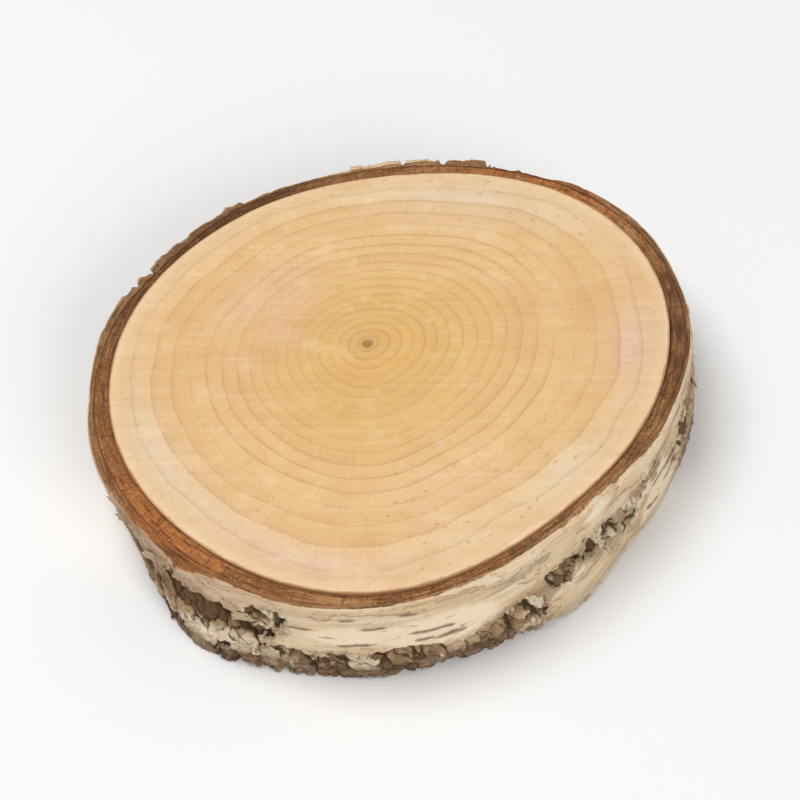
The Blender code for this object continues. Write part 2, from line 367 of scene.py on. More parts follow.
def bark_surface(angle, height, near):
    """How far the bark stands out of the smooth outline there, and how much of each mark it has."""
    swell = SWELL_HEIGHT * noise.noise(bark_place(angle, height, SWELL_SIZE))
    ragged = noise.noise(bark_place(angle, height, *RAGGED))
    finer = noise.noise(bark_place(angle, height, *FINER))
    finest = noise.noise(bark_place(angle, height, *FINEST))
    old = in_patches(angle, height, OLD_BARK)
    wander = angle + WANDER * noise.noise(bark_place(angle, height, WANDER_SIZE)) + 0.6 * finest
    scale, lean, seam = scale_at(bark_place(wander, height, SCALE_SIZE, SCALE_UPRIGHT, FISSURE_SLANT))
    small, small_lean, small_seam = scale_at(bark_place(wander, height + 0.03, SMALL_SCALE_SIZE, 1.2))
    spread = 0.76 * old + (0.35 + 0.65 * rise(old, 0, 0.4)) * (0.5 * ragged + 0.35 * finer + 0.2 * finest)
    spread += 0.14 * rise(old, 0.05, 0.4) * (scale + 0.35 * small)
    cork = rise(spread, *OLD_BARK_EDGE)
    upright = FISSURE_LENGTH / FISSURE_SPACING
    coarse = crack(bark_place(wander, height, FISSURE_SPACING, upright, FISSURE_SLANT), PLATE_WIDTH)
    coarse = rise(coarse, 0.42, 0.90)
    fine = rise(crack(bark_place(wander, height, FINE_CRACK_SPACING, 3.0, FISSURE_SLANT), 6), 0.2, 0.85)
    grain = noise.noise(bark_place(angle, height, CORK_GRAIN))
    corky = SCALE_HEIGHT * scale + SCALE_LEAN * lean - SCALE_SEAM * seam
    corky += SMALL_SCALE_HEIGHT * (small + small_lean) - SMALL_SCALE_SEAM * small_seam
    corky += CORK_GRAIN_HEIGHT * grain - FINE_CRACK_DEPTH * fine
    corky -= FISSURE_DEPTH * (0.35 + 0.65 * corkiness(angle)) * coarse

    sheets = noise.fractal(bark_place(angle, height + 0.05, SHEET_SIZE, 0.32), 0.9, 2.0, 4)
    shed = sum(rise(sheets, level + 0.02, level + 0.05) for level in SHEET_LEVELS)
    edge = sum(math.exp(-(((sheets - level) / SHEET_EDGE_WIDTH) ** 2)) for level in SHEET_LEVELS)
    wrinkle = noise.noise(bark_place(angle, height, WRINKLE_SIZE, 0.35))
    lenticel, slit = lenticel_at(angle, height, near)
    papery = -SHEET_DEPTH * shed + SHEET_LIP * edge + WRINKLE_HEIGHT * wrinkle
    papery += LENTICEL_HEIGHT * (lenticel - 0.8 * slit)
    papery += TORN_EDGE_HEIGHT * math.exp(-(((spread - TORN_EDGE) / TORN_EDGE_WIDTH) ** 2))

    torn = sum(wide * noise.noise(Vector((height * many, first, 0))) for wide, many, first in PEEL_TEARS)
    torn += 0.8 * finer + 0.5 * finest
    peel = window(angle + torn, PEEL_ANGLE, PEEL_HALF_WIDTH, PEEL_SOFTNESS)
    climb = height + sum(deep * tear for deep, tear in zip(PEEL_FOOT_TEARS, (ragged, finer, finest)))
    beside = window(angle + torn, PEEL_ANGLE, PEEL_HALF_WIDTH + PEEL_SOFTNESS, 1.4)
    beside *= rise(climb, PEEL_LOWEST - PEEL_CURL_WIDTH, PEEL_LOWEST)
    peel *= rise(climb, PEEL_LOWEST - 0.1 * MM, PEEL_LOWEST)
    papery += PEEL_CURL * beside
    out = swell + cork * corky + (1 - cork) * (1 - peel) * papery - PEEL_DEPTH * peel
    out += peel * (0.05 * MM * wrinkle + 0.10 * MM * lenticel)
    flares = sum(flare * bell(angle, centre, half) for centre, half, flare in FOOT_FLARES)
    out += (1 - height / THICKNESS) * flares
    dirty_and_shaded_foot = in_stretches(angle, DIRTY_AND_SHADED_FOOT)
    foot = 1 - rise(height, 0.05 * THICKNESS, 0.3 * THICKNESS)
    out += FOOT_CRUMBS * (finer + finest + grain) * dirty_and_shaded_foot * foot
    lip = bell(angle, LIP_ANGLE, LIP_HALF_WIDTH) * rise(height, PEEL_LOWEST, PEEL_LOWEST + 1 * MM)
    out += LIP_HEIGHT * lip
    marks = {
        "old": old,
        "cork": cork,
        "bed": max(coarse, 0.75 * fine, 0.85 * seam, 0.55 * small_seam),
        "level": min(1, max(0, 0.5 + 0.40 * scale + 0.15 * small + 0.3 * lean)),
        "lenticel": (1 - cork) * lenticel,
        "slit": (1 - cork) * slit,
        "shed": shed,
        "peel": peel,
        "stain": stain_at(angle, height),
        "chalky": in_patches(angle, height, CHALKY),
        "dirty_and_shaded_foot": dirty_and_shaded_foot,
    }
    return max(out, THINNEST_OUTER_BARK - outer_bark_depth(angle)), marks


def nibbles(angle, level):
    """How far the saw's teeth tore the bark's rim there."""
    torn = noise.noise(bark_place(angle, 3 * level, NIBBLE_SIZE)) - 0.1
    return NIBBLE_DEPTH * max(0, torn) * (0.5 + corkiness(angle))


def rim_heights(angle):
    """The heights of the bark's top rim and of its bottom one."""
    top = THICKNESS - RIM_ROUNDING - chip_depth(angle, TOP_CHIPS) - nibbles(angle, THICKNESS)
    bottom = RIM_ROUNDING + chip_depth(angle, BOTTOM_CHIPS) + nibbles(angle, 0)
    return top, bottom


def folded_map(bm, margin=0.004):
    """Lays a grid out on the bake map, cut into strips that are stacked."""
    layer = bm.loops.layers.uv.verify()
    deep = (1 - BAND_LOWEST) / BAND_STRIPS
    for face in bm.faces:
        strip = min(BAND_STRIPS - 1, int(face.calc_center_median().x * BAND_STRIPS))
        for loop in face.loops:
            along = loop.vert.co.x * BAND_STRIPS - strip
            up = BAND_LOWEST + deep * (strip + mix(0.05, 0.95, loop.vert.co.y))
            loop[layer].uv = (mix(margin, 1 - margin, along), up)


def unrolled(columns, rows):
    """A flat grid, 1 along and 1 across, with its bake map: a band that is rolled up into a ring later."""
    bm = bmesh.new()
    bm.loops.layers.uv.new(BAKE_MAP)
    bmesh.ops.create_grid(bm, x_segments=columns, y_segments=rows, size=0.5)
    bmesh.ops.translate(bm, verts=bm.verts, vec=(0.5, 0.5, 0))
    folded_map(bm)
    return bm


def made_of(bm, name, material):
    mesh = bpy.data.meshes.new(name)
    bm.to_mesh(mesh)
    bm.free()
    mesh.materials.append(material)
    thing = bpy.data.objects.new(name, mesh)
    bpy.context.scene.collection.objects.link(thing)
    return thing


def finished(bm, name, material, sharp_angle):
    """Closes the seams, makes the piece's object and lets it ride on the part."""
    bmesh.ops.remove_doubles(bm, verts=bm.verts, dist=MERGE_DISTANCE)
    bmesh.ops.recalc_face_normals(bm, faces=bm.faces)
    piece = made_of(bm, name, material)
    piece.data.shade_smooth()
    piece.data.set_sharp_from_angle(angle=math.radians(sharp_angle))
    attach(piece, "root")
    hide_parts(SLICE)
    return piece


BARK_MARKS = ("old", "cork", "bed", "level", "lenticel", "slit", "shed", "peel", "stain", "chalky",
              "dirty_and_shaded_foot", "sawn", "inwards", "pale_rim", "rusty", "dark")


def bark_band():
    """The outer bark: over its sawn top, down its side, over its sawn bottom and up its hidden inner wall."""
    sawn_rows = BARK_TOP_ROWS
    rows = 2 * sawn_rows + BARK_SIDE_ROWS
    bm = unrolled(BARK_SIDES, rows)
    layers = {name: bm.verts.layers.float.new(name) for name in BARK_MARKS}
    round_branch = bm.verts.layers.float_vector.new("round_branch")
    lenticels = draw_lenticels()
    near_by_column = {}
    for vert in bm.verts:
        column, row = round(vert.co.x * BARK_SIDES), round(vert.co.y * rows)
        angle = 360 * (column % BARK_SIDES) / BARK_SIDES
        if column not in near_by_column:
            near_by_column[column] = [found for found in lenticels
                                      if abs(from_centre(angle, found[0])) < 1.1 * found[2]]
        top, bottom = rim_heights(angle)
        side = min(1, max(0, (row - sawn_rows) / BARK_SIDE_ROWS))
        height = mix(top, bottom, side)
        out, marks = bark_surface(angle, height, near_by_column[column])
        radius = outline(angle) + out
        sawn = abs(row - sawn_rows - side * BARK_SIDE_ROWS) / sawn_rows
        if sawn > 0:
            inner = outline(angle) - outer_bark_depth(angle)
            level, inward = (THICKNESS, -1) if row < sawn_rows else (0, 1)
            across = max(0, sawn - 0.5 / sawn_rows)
            radius = mix(radius - 0.04 * MM, inner, across)
            grain = 0.5 + 0.5 * noise.noise(Vector((7000 * radius, math.radians(angle) * 6, level)))
            height = mix(height - inward * 0.06 * MM, level + inward * 0.05 * MM, sawn ** 2)
            swell = noise.noise(bark_place(angle, level, 0.6 * MM))
            height += inward * (SAWN_GRAIN * grain + SAWN_SWELL * swell)
            chip = abs(level - (top if row < sawn_rows else bottom)) - RIM_ROUNDING
            crumbs = noise.fractal(bark_place(angle, 2 * radius, 0.8 * MM), 0.7, 2.0, 3)
            rough = (CHIP_ROUGHNESS * chip * crumbs + RIM_ROUGHNESS * crumbs) * math.sin(math.pi * across)
            height += inward * rough
        vert.co = point(angle, radius, height)
        unrolled_height = height
        if sawn > 0:
            unrolled_height -= inward * across * outer_bark_depth(angle)
            marks["inwards"] = across
        marks["pale_rim"] = in_stretches(angle, PALE_RIM)
        marks["rusty"] = in_stretches(angle, RUSTY_STRETCHES)
        marks["dark"] = in_stretches(angle, DARK_STRETCHES)
        marks["sawn"] = rise(sawn, 0, 2 / sawn_rows)
        vert[round_branch] = rolled(angle, unrolled_height)
        for name, value in marks.items():
            vert[layers[name]] = value
    close_inside(bm)
    return bm


def close_inside(bm):
    """Joins the band's first and last rows by the hidden wall behind them, which is lowest on the map."""
    bmesh.ops.remove_doubles(bm, verts=bm.verts, dist=MERGE_DISTANCE)
    edges = [edge for edge in bm.edges if edge.is_boundary]
    made = bmesh.ops.bridge_loops(bm, edges=edges)["faces"]
    layer = bm.loops.layers.uv.verify()
    for face in made:
        angles = [math.degrees(math.atan2(loop.vert.co.y, loop.vert.co.x)) % 360 for loop in face.loops]
        if max(angles) - min(angles) > 180:
            angles = [angle + 360 if angle < 180 else angle for angle in angles]
        for loop, angle in zip(face.loops, angles):
            up = 0.045 if loop.vert.co.z > THICKNESS / 2 else 0.01
            loop[layer].uv = (0.01 + 0.97 * angle / 361, up)


def inner_bark_ring():
    """The inner bark: a ring between wood and outer bark, sunk and crumbly on both sawn faces."""
    rows = 2 * INNER_ROWS + 1
    bm = unrolled(INNER_SIDES, rows)
    layers = {name: bm.verts.layers.float.new(name) for name in ("outwards", "rusty", "dark")}
    round_branch = bm.verts.layers.float_vector.new("round_branch")
    for vert in bm.verts:
        column, row = round(vert.co.x * INNER_SIDES), round(vert.co.y * rows)
        angle = 360 * (column % INNER_SIDES) / INNER_SIDES
        on_top = row <= INNER_ROWS
        level, inward = (THICKNESS, -1) if on_top else (0, 1)
        outwards = row / INNER_ROWS if on_top else (rows - row) / INNER_ROWS
        inside = outline(angle) - bark_depth(angle) - OVERLAP
        outside = outline(angle) - outer_bark_depth(angle) + OVERLAP
        across = mix(0, outside - inside, outwards) + 5 * level
        crumbs = noise.fractal(bark_place(angle, across, CRUMB_SIZE), 0.8, 2.0, 3)
        layered = noise.noise(bark_place(angle, across, LAYER_LENGTH, LAYER_THICKNESS / LAYER_LENGTH))
        sink = mix(INNER_BARK_SINK, INNER_BARK_SINK_OUTSIDE, outwards)
        sink -= CRUMB_HEIGHT * crumbs + LAYER_HEIGHT * layered
        shrunk = bell(outwards * 100, 0, 12) * (0.4 + noise.noise(bark_place(angle, level, 6 * MM)))
        sink += SHRUNK_FROM_WOOD * shrunk
        vert.co = point(angle, mix(inside, outside, outwards), level + inward * sink)
        vert[round_branch] = rolled(angle, across)
        vert[layers["outwards"]] = outwards
        vert[layers["rusty"]] = in_stretches(angle, RUSTY_STRETCHES)
        vert[layers["dark"]] = in_stretches(angle, DARK_STRETCHES)
    close_inside(bm)
    return bm


def flat_disc():
    """A flat disc of rings of faces, 1 from middle to rim. Its spokes double where they would spread."""
    bm = bmesh.new()
    bm.loops.layers.uv.new(BAKE_MAP)
    first = 1 / WOOD_RINGS
    bmesh.ops.create_circle(bm, cap_ends=True, segments=WOOD_FIRST_SPOKES, radius=first)
    edges = list(bm.edges)
    for ring in range(2, WOOD_RINGS + 1):
        share = ring / WOOD_RINGS
        if 2 * math.pi * share / len(edges) > WOOD_WIDEST_FACE:
            bmesh.ops.subdivide_edges(bm, edges=edges, cuts=1)
            edges = [edge for edge in bm.edges if edge.is_boundary]
        made = bmesh.ops.extrude_edge_only(bm, edges=edges)["geom"]
        for vert in only(bmesh.types.BMVert, made):
            vert.co = vert.co.normalized() * share
        edges = [edge for edge in only(bmesh.types.BMEdge, made) if edge.is_boundary]
    return bm


def disc_map(bm, faces, centre):
    layer = bm.loops.layers.uv.verify()
    for face in faces:
        for loop in face.loops:
            loop[layer].uv = Vector(centre) + DISC_RADIUS * loop.vert.co.xy


def wall_map(bm, faces):
    """Lays the wood's hidden wall out in four short strips, in a free corner of the bake map."""
    layer = bm.loops.layers.uv.verify()
    for face in faces:
        middle = face.calc_center_median()
        strip = int(math.degrees(math.atan2(middle.y, middle.x)) % 360 / 90)
        for loop in face.loops:
            angle = math.degrees(math.atan2(loop.vert.co.y, loop.vert.co.x))
            angle = from_centre(angle, 90 * strip + 45) + 45
            high = 0.07 if loop.vert.co.z > 0.5 else 0
            loop[layer].uv = (0.01 + 0.36 * angle / 90, 0.63 + 0.09 * strip + high)


def wood_disc():
    """The wood: its two sawn faces, 1 apart while they are flat discs, and the wall between them."""
    bm = flat_disc()
    disc_map(bm, bm.faces, BOTTOM_DISC)
    made = bmesh.ops.duplicate(bm, geom=bm.verts[:] + bm.edges[:] + bm.faces[:])["geom"]
    bmesh.ops.translate(bm, verts=only(bmesh.types.BMVert, made), vec=(0, 0, 1))
    disc_map(bm, only(bmesh.types.BMFace, made), TOP_DISC)
    rims = [edge for edge in bm.edges if edge.is_boundary]
    wall_map(bm, bmesh.ops.bridge_loops(bm, edges=rims)["faces"])
    layers = {name: bm.verts.layers.float.new(name) for name in ("years", "share", "pale", "pink")}
    spoke = bm.verts.layers.float_vector.new("spoke")
    for vert in bm.verts:
        share, angle = vert.co.xy.length, math.degrees(math.atan2(vert.co.y, vert.co.x))
        level, inward = (THICKNESS, -1) if vert.co.z > 0.5 else (0, 1)
        place, years = wood_place(angle, share, level)
        vert.co = Vector((*place, level + inward * wood_relief(place, share, years, level)))
        vert[layers["years"]] = years
        vert[layers["share"]] = share
        vert[layers["pale"]] = patch_at(angle, share, PALE_PATCHES)
        vert[layers["pink"]] = patch_at(angle, share, PINK_PATCHES)
        turn = math.radians(angle)
        vert[spoke] = Vector((math.cos(turn), math.sin(turn), share))
    return bm


def patch_at(angle, share, patches):
    return max(bell(angle, centre, half) * math.exp(-(((share - middle) / deep) ** 2))
               for centre, middle, half, deep in patches)


def wood_place(angle, share, level):
    """Where a spot of the wood's face lies, and how many years of growth lie inside it.

    The rings are round about the pith and grow into the shape of the branch's outline.
    """
    middle = MIDDLE + LEAN * (0.5 - level / THICKNESS)
    pith = middle + PITH
    turn = math.radians(angle)
    rim = middle + (outline(angle) - bark_depth(angle)) * Vector((math.cos(turn), math.sin(turn)))
    place = pith.lerp(rim, share)
    wobble = noise.fractal(Vector((*(place * 95), 3.0)), 1.2, 2.0, 3)
    years = YEARS * (share + 0.12 * math.sin(math.pi * share)) + (0.15 + 0.35 * share) * wobble
    return place, years


def wood_relief(place, share, years, level):
    """How deep the face lies under the saw's plane there."""
    late = (years % 1) ** 3
    saw = noise.noise(Vector((place.x * 90 + place.y * 30, place.y * 1500 - place.x * 500, level * 900)))
    depth = RING_RELIEF * (1 - late) + SAW_RELIEF * saw + SAWN_CLEARANCE
    depth += 0.3 * RIM_ROUNDING * rise(share, 0.993, 1)
    across = share * MEAN_RADIUS
    return depth + PITH_DEPTH * (1 - rise(across, 0.4 * PITH_RADIUS, 1.1 * PITH_RADIUS))


class Socket:
    """A node's output. Sums, products and powers of sockets and numbers add their Math nodes."""

    def __init__(self, finish, output):
        self.finish = finish
        self.output = output

    def maths(self, operation, *values, clamp=False):
        settings = {"operation": operation, "use_clamp": clamp}
        return self.finish.node("ShaderNodeMath", settings, dict(enumerate(values)))

    def __add__(self, other):
        return self.maths("ADD", self, other)

    __radd__ = __add__

    def __sub__(self, other):
        return self.maths("SUBTRACT", self, other)

    def __rsub__(self, other):
        return self.maths("SUBTRACT", other, self)

    def __mul__(self, other):
        return self.maths("MULTIPLY", self, other)

    __rmul__ = __mul__

    def __truediv__(self, other):
        return self.maths("DIVIDE", self, other)

    def __pow__(self, other):
        return self.maths("POWER", self, other)

    def part(self):
        """What is left over a whole number."""
        return self.maths("FRACT", self)

    def whole(self):
        return self.maths("FLOOR", self)

    def kept(self):
        """Held between 0 and 1."""
        return self.maths("ADD", self, 0, clamp=True)

    def rise(self, low, high):
        """0 at low and 1 at high, with a smooth way between. Low may be above high."""
        settings = {"interpolation_type": "SMOOTHSTEP"}
        if low < high:
            return self.finish.node("ShaderNodeMapRange", settings, {0: self, 1: low, 2: high, 3: 0, 4: 1})
        return self.finish.node("ShaderNodeMapRange", settings, {0: self, 1: high, 2: low, 3: 1, 4: 0})


class Finish:
    """A material in the making."""

    def __init__(self, name):
        self.material = bpy.data.materials.new(name)
        self.material.use_nodes = True
        self.tree = self.material.node_tree
        self.shader = self.tree.nodes["Principled BSDF"]
        self.place = self.node("ShaderNodeTexCoord", {}, {}, "Object")

    def node(self, kind, settings, inputs, out=0):
        """Adds a node of that type. Its settings come first, then the values or links of its sockets."""
        node = self.tree.nodes.new(kind)
        for name, value in settings.items():
            setattr(node, name, value)
        for name, value in inputs.items():
            self.feed(node.inputs[name], value)
        return Socket(self, node.outputs[out])

    def feed(self, socket, value):
        if isinstance(value, Socket):
            self.tree.links.new(value.output, socket)
        elif isinstance(value, tuple) and len(value) == 3 and socket.type == "RGBA":
            socket.default_value = (*value, 1)
        else:
            socket.default_value = value

    def set(self, **inputs):
        """Sets the shader's own sockets, named with _ for each space."""
        for name, value in inputs.items():
            self.feed(self.shader.inputs[name.replace("_", " ")], value)

    def mark(self, name):
        """A number that a piece carries, mostly from 0 to 1."""
        return self.node("ShaderNodeAttribute", {"attribute_name": name}, {}, "Fac")

    def stretched(self, scale, place=None, move=(0, 0, 0), turn=0):
        """Places turned, scaled and moved, in swells to a metre along each axis."""
        turned = {"Location": move, "Rotation": (0, 0, turn), "Scale": scale}
        return self.node("ShaderNodeMapping", {}, {"Vector": place or self.place, **turned})

    def places(self, name):
        """A piece's attribute that holds a place for patterns."""
        return self.node("ShaderNodeAttribute", {"attribute_name": name}, {}, "Vector")

    def noise(self, scale, detail=3, place=None, roughness=0.5):
        inputs = {"Vector": place or self.place, "Scale": scale, "Detail": detail, "Roughness": roughness}
        return self.node("ShaderNodeTexNoise", {}, inputs, "Fac")

    def cells(self, scale, place=None):
        inputs = {"Vector": place or self.place, "Scale": scale}
        return self.node("ShaderNodeTexVoronoi", {}, inputs, "Distance")

    def random(self, number):
        return self.node("ShaderNodeTexWhiteNoise", {"noise_dimensions": "1D"}, {"W": number}, "Value")

    def blend(self, low, high, share):
        """A colour that share of the way from the first to the second."""
        return self.node("ShaderNodeMix", {"data_type": "RGBA"}, {0: share, 6: low, 7: high}, 2)

    def bump(self, height, depth):
        """A normal for that height, where 1 stands that deep in metres."""
        return self.node("ShaderNodeBump", {}, {"Height": height, "Distance": depth, "Strength": 1.0})


def sawn_wood():
    """Tan end grain: thin darker lines round each year, rays, pores, saw marks and a small brown pith."""
    wood = Finish("sawn birch wood")
    share, spoke = wood.mark("share"), wood.places("spoke")
    years = wood.mark("years") + 0.12 * (wood.noise(260, 3) - 0.5) + 0.07 * (wood.noise(1400, 2) - 0.5)
    year, late = years.whole(), years.part()
    tone, strength = wood.random(year + 0.5), wood.random(year + 40.5)
    clouds, drifts, fades = wood.noise(55, 4), wood.noise(34, 3), wood.noise(85, 2)

    # Tones from the heart to the rim, and the pale and pink patches.
    heart = (share + 0.5 * (clouds - 0.5)).rise(0.66, 0.12)
    young = (share + 0.25 * (drifts - 0.5)).rise(0.80, 0.97)
    colour = wood.blend((0.785, 0.515, 0.240), (0.765, 0.460, 0.152), heart)
    colour = wood.blend(colour, (0.80, 0.565, 0.325), young)
    colour = wood.blend(colour, (0.82, 0.60, 0.36), 0.5 * drifts.rise(0.52, 0.66) * (1 - heart))
    colour = wood.blend(colour, (0.72, 0.44, 0.19), 0.5 * drifts.rise(0.48, 0.34))
    colour = wood.blend(colour, (0.80, 0.62, 0.43), 0.85 * wood.mark("pale") * fades.rise(0.2, 0.5))
    colour = wood.blend(colour, (0.79, 0.535, 0.40), 0.80 * wood.mark("pink") * clouds.rise(0.25, 0.55))
    # The years.
    colour = wood.blend(colour, (0.68, 0.40, 0.165), (0.10 + 0.46 * late) * (tone - 0.25).kept())
    line = (late ** 8) * (0.25 + 0.75 * strength) + 0.35 * late.rise(0.07, 0.0) * strength
    colour = wood.blend(colour, (0.47, 0.245, 0.085), 0.68 * line * fades.rise(0.22, 0.58))
    colour = wood.blend(colour, (0.87, 0.63, 0.385), 0.6 * share.rise(0.945, 0.985))

    # Mottles, flecks, rays, pores and saw marks.
    mottles = wood.noise(330, 4, None, 0.65)
    colour = wood.blend(colour, (0.62, 0.355, 0.135), 0.24 * mottles.rise(0.52, 0.68))
    colour = wood.blend(colour, (0.92, 0.715, 0.450), 0.24 * mottles.rise(0.47, 0.32))
    flecks = wood.cells(1, wood.stretched((13, 13, 34), spoke))
    flecks = (flecks + 0.25 * (wood.noise(1500, 2) - 0.5)).rise(0.20, 0.08) * drifts.rise(0.50, 0.58)
    colour = wood.blend(colour, (0.50, 0.27, 0.105), 0.55 * flecks * share.rise(0.12, 0.3))
    rays = wood.noise(1, 3, wood.stretched((46, 46, 7), spoke), 0.6)
    colour = wood.blend(colour, (0.58, 0.35, 0.16), 0.20 * rays.rise(0.55, 0.8))
    colour = wood.blend(colour, (0.90, 0.72, 0.50), 0.22 * rays.rise(0.45, 0.2))
    pores = wood.noise(4200, 2)
    colour = wood.blend(colour, (0.50, 0.29, 0.13), 0.42 * pores.rise(0.60, 0.75))
    saw = wood.noise(1, 3, wood.stretched((110, 2300, 400), turn=0.35))
    colour = wood.blend(colour, (0.62, 0.40, 0.20), 0.18 * saw.rise(0.5, 0.75))
    colour = wood.blend(colour, (0.93, 0.79, 0.60), 0.13 * saw.rise(0.5, 0.25))
    # The pith and the stained rim.
    colour = wood.blend(colour, (0.66, 0.37, 0.13), 0.35 * share.rise(0.09, 0.02))
    core = (share + 0.010 * (wood.noise(1100, 3) - 0.5)).rise(0.025, 0.013)
    colour = wood.blend(colour, (0.36, 0.185, 0.07), 0.85 * core)
    stained = (share + 0.008 * (wood.noise(900, 3) - 0.5)).rise(0.991, 0.998)
    colour = wood.blend(colour, (0.33, 0.14, 0.045), 0.75 * stained)
    height = 0.5 * saw + 0.35 * pores + 0.3 * rays + 0.3 * (1 - late ** 4)
    wood.set(Base_Color=colour, Roughness=0.62 + 0.2 * wood.noise(600, 2), Specular_IOR_Level=0.25,
             Normal=wood.bump(height, 0.05 * MM))
    return wood.material


def dry_inner_bark():
    """Brown and crumbly: wavy layers, fine rays across them, pale grains and a dark line against the wood."""
    bark = Finish("dry inner bark")
    outwards, rusty, dark = bark.mark("outwards"), bark.mark("rusty"), bark.mark("dark")
    round_branch = bark.places("round_branch")
    clouds, grain = bark.noise(170, 3), bark.noise(2600, 3, None, 0.6)
    layers = bark.noise(1, 3, bark.stretched((420, 420, 4600), round_branch), 0.6)
    rays = bark.noise(1, 2, bark.stretched((2900, 2900, 420), round_branch, (3, 0, 0)), 0.5)
    grains = bark.cells(3100) + 0.25 * (grain - 0.5)

    base = bark.blend((0.25, 0.108, 0.038), (0.41, 0.205, 0.085), clouds.rise(0.40, 0.64))
    base = bark.blend(base, (0.43, 0.152, 0.037), rusty * clouds.rise(0.25, 0.50))
    base = bark.blend(base, (0.095, 0.033, 0.013), 0.85 * dark * clouds.rise(0.75, 0.45))
    colour = bark.blend(base, (0.085, 0.031, 0.013), 0.75 * layers.rise(0.50, 0.68))
    colour = bark.blend(colour, (0.60, 0.33, 0.14), 0.55 * layers.rise(0.46, 0.30) * (1 - 0.6 * dark))
    colour = bark.blend(colour, (0.10, 0.038, 0.016), 0.5 * rays.rise(0.54, 0.70))
    colour = bark.blend(colour, (0.07, 0.026, 0.011), 0.5 * grain.rise(0.52, 0.68))
    pale = outwards.rise(0.15, 0.40) * (1 - 0.7 * dark)
    colour = bark.blend(colour, (0.66, 0.41, 0.20), 0.55 * grains.rise(0.24, 0.10) * pale)
    beside_wood = (outwards + 0.10 * (grain - 0.5)).rise(0.13, 0.02)
    colour = bark.blend(colour, (0.050, 0.020, 0.009), 0.85 * beside_wood)
    outermost = (outwards + 0.15 * (clouds - 0.5)).rise(0.86, 1.0)
    colour = bark.blend(colour, (0.11, 0.045, 0.018), 0.7 * outermost)
    height = 0.45 * grain + 0.35 * (1 - layers) + 0.2 * rays
    bark.set(Base_Color=colour, Roughness=0.82, Specular_IOR_Level=0.2, Normal=bark.bump(height, 0.14 * MM))
    return bark.material


